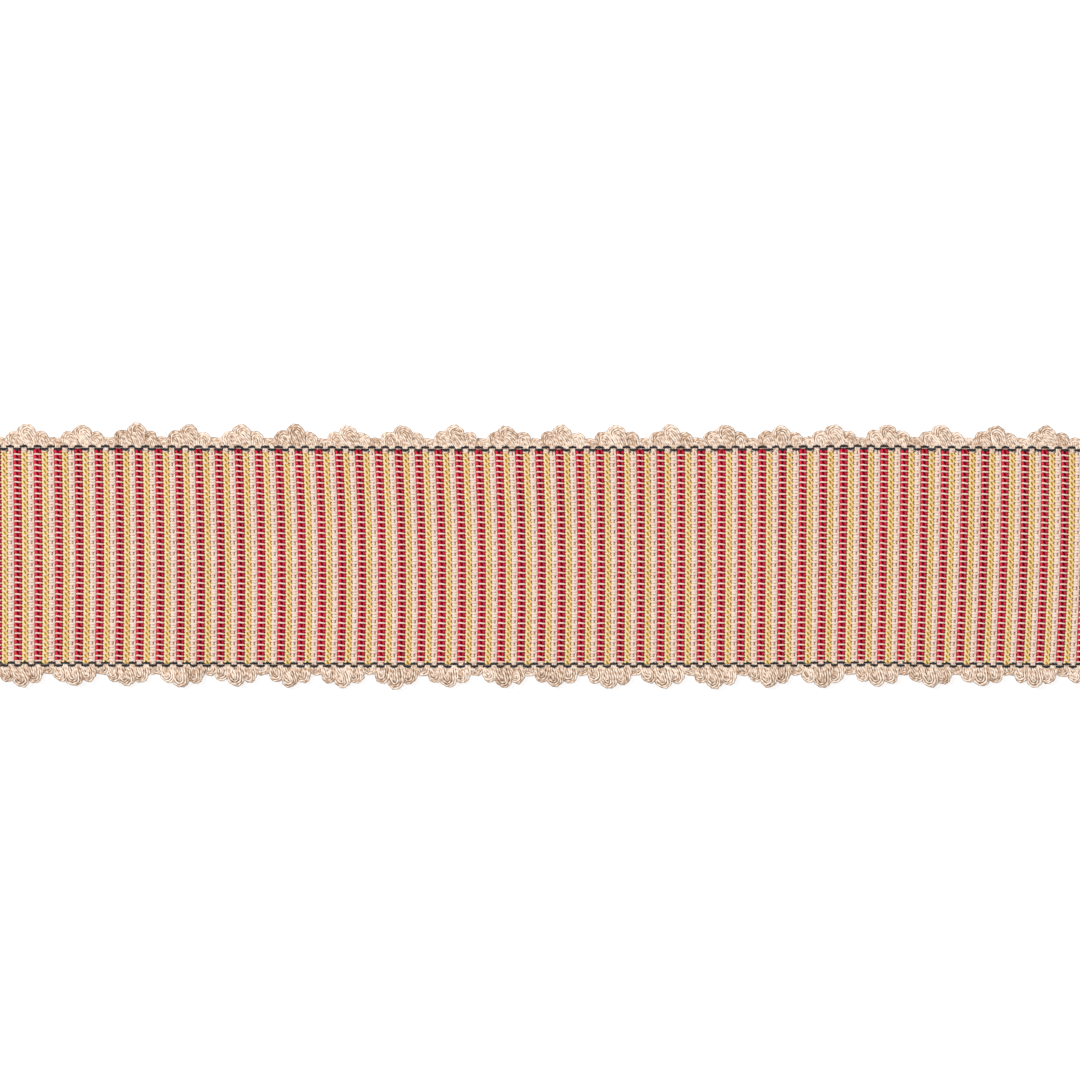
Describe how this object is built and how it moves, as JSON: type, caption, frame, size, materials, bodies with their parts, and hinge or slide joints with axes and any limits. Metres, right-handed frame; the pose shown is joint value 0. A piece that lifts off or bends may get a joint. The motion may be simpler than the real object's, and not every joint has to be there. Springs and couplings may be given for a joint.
{
  "type": "scalloped tape trim",
  "caption": "Flat cut length of ribbed tape trim in red, gold and pale cross stripes, with a dark thread line along each edge and a scalloped edging of soft looped yarn.",
  "frame": {"origin": "middle of the tape's length and width, on the flat back that it lies on", "axes": "+X along the tape with its colours running red, gold, pale; +Y across it to the upper edge; +Z out of the ribbed face"},
  "size_m": [0.2729, 0.0644, 0.0022],
  "materials": {
    "ground_cloth": "ribbed weave of red, gold and pale weft under pale warp, soft sheen",
    "dark_yarn": "fine charcoal yarn, matte",
    "edging_yarn": "soft beige multi-ply yarn, matte"
  },
  "bodies": {
    "root": {"striped_band": "ground_cloth", "dark_warp_upper": "dark_yarn", "dark_warp_lower": "dark_yarn", "loop_edging_upper": "edging_yarn", "loop_edging_lower": "edging_yarn"}
  },
  "joints": []
}
